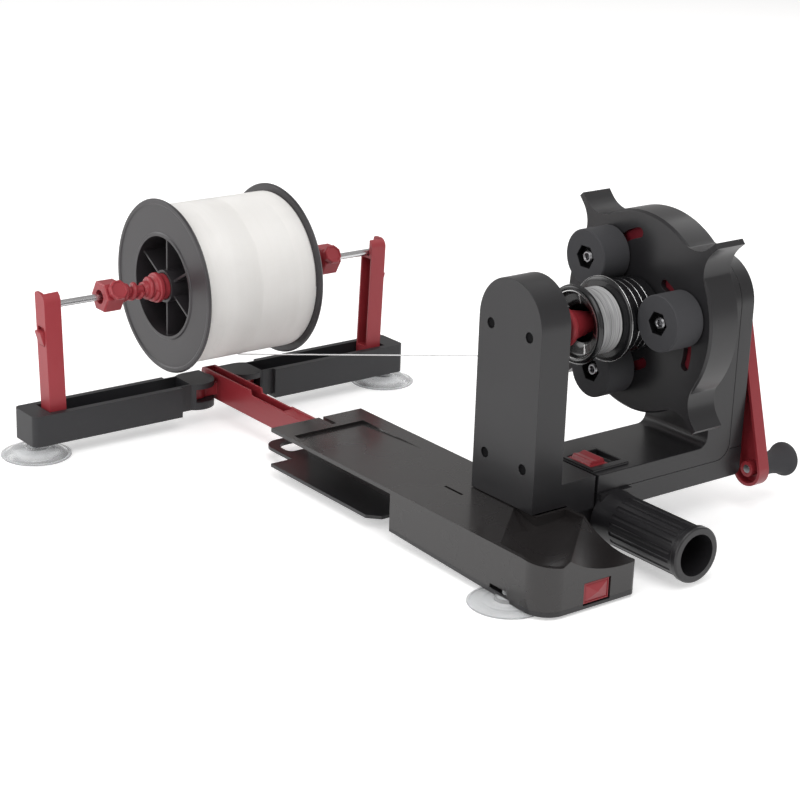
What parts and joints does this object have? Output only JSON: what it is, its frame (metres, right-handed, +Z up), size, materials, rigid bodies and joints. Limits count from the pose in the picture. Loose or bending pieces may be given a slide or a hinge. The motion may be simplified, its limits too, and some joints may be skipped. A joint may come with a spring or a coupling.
{
  "type": "fishing line winder",
  "caption": "Table-top line winder: a bulk spool on folding trough arms feeds a reel spool held between a sliding tail centre and a hand-cranked roller chuck.",
  "frame": {"origin": "on the table, below the middle of the winder's box", "axes": "+Z up, +X from the bulk spool to the reel side, +Y from the tail to the crank"},
  "size_m": [0.49, 0.419, 0.2135],
  "materials": {
    "black_gloss": "moulded, semi-gloss",
    "black_satin": "moulded, satin",
    "red_plastic": "moulded, satin",
    "steel": "bright",
    "red_spring": "coated",
    "bronze": "plain",
    "rubber": "moulded",
    "clear_cup": "clear soft plastic",
    "line": "wound clear nylon",
    "reel_black": "polished"
  },
  "bodies": {
    "base": {"base_shell": "black_gloss", "base_bottom_plate": "black_satin", "front_left_cup": "clear_cup", "front_right_cup": "clear_cup", "release_spring": "steel", "yoke_frame": "black_gloss", "yoke_lower_shell": "black_gloss", "yoke_cover": "black_gloss", "chuck_bearings": "steel", "grip_tube": "black_gloss", "line_run": "line"},
    "release": {"release_button": "red_plastic"},
    "extension": {"extension_beam": "red_plastic", "arm_pins": "steel"},
    "left_arm": {"left_arm": "black_satin", "left_arm_cup": "clear_cup", "left_post_pin": "steel"},
    "right_arm": {"right_arm": "black_satin", "right_arm_cup": "clear_cup", "right_post_pin": "steel"},
    "left_post": {"left_post": "red_plastic"},
    "left_latch": {"left_post_latch": "red_plastic"},
    "right_post": {"right_post": "red_plastic"},
    "right_latch": {"right_post_latch": "red_plastic"},
    "rod": {"spool_rod": "steel", "left_clamp": "red_plastic", "right_clamp": "red_plastic", "pressure_spring": "red_spring", "fixed_cone": "red_plastic"},
    "left_thumbscrew": {"left_clamp_screw": "red_plastic"},
    "right_thumbscrew": {"right_clamp_screw": "red_plastic"},
    "cone": {"pressure_cone": "red_plastic"},
    "bulk_spool": {"bulk_spool_left_half": "black_satin", "bulk_spool_right_half": "black_satin", "bulk_line": "line"},
    "tail": {"tail_upright": "black_gloss", "tail_cover": "black_gloss", "tail_screws": "steel", "tail_bush": "bronze", "tail_spindle": "steel"},
    "centre": {"live_centre": "red_plastic"},
    "width_latch": {"width_latch": "red_plastic"},
    "chuck": {"chuck_spindle": "steel", "jaw_guide_plate": "red_plastic", "reel_spool": "reel_black", "reel_line": "line", "crank_arm": "red_plastic", "crank_screw": "steel", "knob_pin": "steel"},
    "knob": {"crank_knob": "black_satin"},
    "ring": {"chuck_ring": "black_gloss"},
    "jaw_1": {"jaw_1": "black_satin", "roller_1": "rubber", "roller_screw_1": "steel"},
    "jaw_2": {"jaw_2": "black_satin", "roller_2": "rubber", "roller_screw_2": "steel"},
    "jaw_3": {"jaw_3": "black_satin", "roller_3": "rubber", "roller_screw_3": "steel"}
  },
  "joints": [
    {"name": "release_press", "type": "slide", "parent": "base", "child": "release", "axis": [-1, 0, 0], "range_m": [0, 0.004], "stiffness_N_per_m": 600, "springref_m": -0.003, "deforming": ["release_spring"]},
    {"name": "extension_slide", "type": "slide", "parent": "base", "child": "extension", "axis": [1, 0, 0], "range_m": [-0.012, 0.075], "deforming": ["line_run"]},
    {"name": "left_arm_fold", "type": "hinge", "parent": "extension", "child": "left_arm", "pos_m": [-0.181, -0.0525, 0.02], "axis": [0, 0, 1], "range_deg": [0, 80]},
    {"name": "right_arm_fold", "type": "hinge", "parent": "extension", "child": "right_arm", "pos_m": [-0.181, -0.0085, 0.02], "axis": [0, 0, -1], "range_deg": [0, 80]},
    {"name": "rod_lift", "type": "slide", "parent": "extension", "child": "rod", "axis": [0, 0, 1], "range_m": [0, 0.3]},
    {"name": "left_post_fold", "type": "hinge", "parent": "left_arm", "child": "left_post", "pos_m": [-0.181, -0.1695, 0.024], "axis": [-1, 0, 0], "range_deg": [0, 92]},
    {"name": "right_post_fold", "type": "hinge", "parent": "right_arm", "child": "right_post", "pos_m": [-0.181, 0.1085, 0.024], "axis": [1, 0, 0], "range_deg": [0, 92]},
    {"name": "left_latch_slide", "type": "slide", "parent": "left_post", "child": "left_latch", "axis": [0, -0.0349, 0.9994], "range_m": [0, 0.0025]},
    {"name": "right_latch_slide", "type": "slide", "parent": "right_post", "child": "right_latch", "axis": [0, 0.0349, 0.9994], "range_m": [0, 0.0025]},
    {"name": "left_thumbscrew_turn", "type": "hinge", "parent": "rod", "child": "left_thumbscrew", "pos_m": [-0.181, -0.1227, 0.1085], "axis": [0.866, 0, 0.5], "continuous": true},
    {"name": "right_thumbscrew_turn", "type": "hinge", "parent": "rod", "child": "right_thumbscrew", "pos_m": [-0.181, 0.0637, 0.1085], "axis": [0.866, 0, 0.5], "continuous": true},
    {"name": "cone_press", "type": "slide", "parent": "rod", "child": "cone", "axis": [0, -1, 0], "range_m": [0, 0.008], "stiffness_N_per_m": 500, "springref_m": -0.004, "deforming": ["pressure_spring"]},
    {"name": "bulk_spool_spin", "type": "hinge", "parent": "rod", "child": "bulk_spool", "pos_m": [-0.181, -0.0305, 0.1085], "axis": [0, 1, 0], "continuous": true},
    {"name": "tail_slide", "type": "slide", "parent": "base", "child": "tail", "axis": [0, -1, 0], "range_m": [0, 0.025]},
    {"name": "live_centre_spin", "type": "hinge", "parent": "tail", "child": "centre", "pos_m": [0.137, 0.0295, 0.146], "axis": [0, 1, 0], "continuous": true},
    {"name": "width_latch_slide", "type": "slide", "parent": "base", "child": "width_latch", "axis": [0, 1, 0], "range_m": [0, 0.008], "stiffness_N_per_m": 300, "springref_m": -0.003},
    {"name": "crank_spin", "type": "hinge", "parent": "base", "child": "chuck", "pos_m": [0.137, 0.1195, 0.146], "axis": [0, 1, 0], "continuous": true},
    {"name": "knob_spin", "type": "hinge", "parent": "chuck", "child": "knob", "pos_m": [0.17096, 0.1945, 0.02986], "axis": [0, 1, 0], "continuous": true},
    {"name": "ring_turn", "type": "hinge", "parent": "chuck", "child": "ring", "pos_m": [0.137, 0.0995, 0.146], "axis": [0, -1, 0], "range_deg": [0, 30]},
    {"name": "jaw_1_slide", "type": "slide", "parent": "chuck", "child": "jaw_1", "axis": [0.9877, 0, 0.1564], "range_m": [0, 0.008]},
    {"name": "jaw_2_slide", "type": "slide", "parent": "chuck", "child": "jaw_2", "axis": [-0.6293, 0, 0.7771], "range_m": [0, 0.008]},
    {"name": "jaw_3_slide", "type": "slide", "parent": "chuck", "child": "jaw_3", "axis": [-0.3584, 0, -0.9336], "range_m": [0, 0.008]}
  ],
  "couplings": [
    {"joint": "left_post_fold", "follows": "rod_lift", "rad_per_m": 5.3523},
    {"joint": "right_post_fold", "follows": "rod_lift", "rad_per_m": 5.3523},
    {"joint": "jaw_1_slide", "follows": "ring_turn", "m_per_rad": 0.014897},
    {"joint": "jaw_2_slide", "follows": "ring_turn", "m_per_rad": 0.014897},
    {"joint": "jaw_3_slide", "follows": "ring_turn", "m_per_rad": 0.014897}
  ]
}
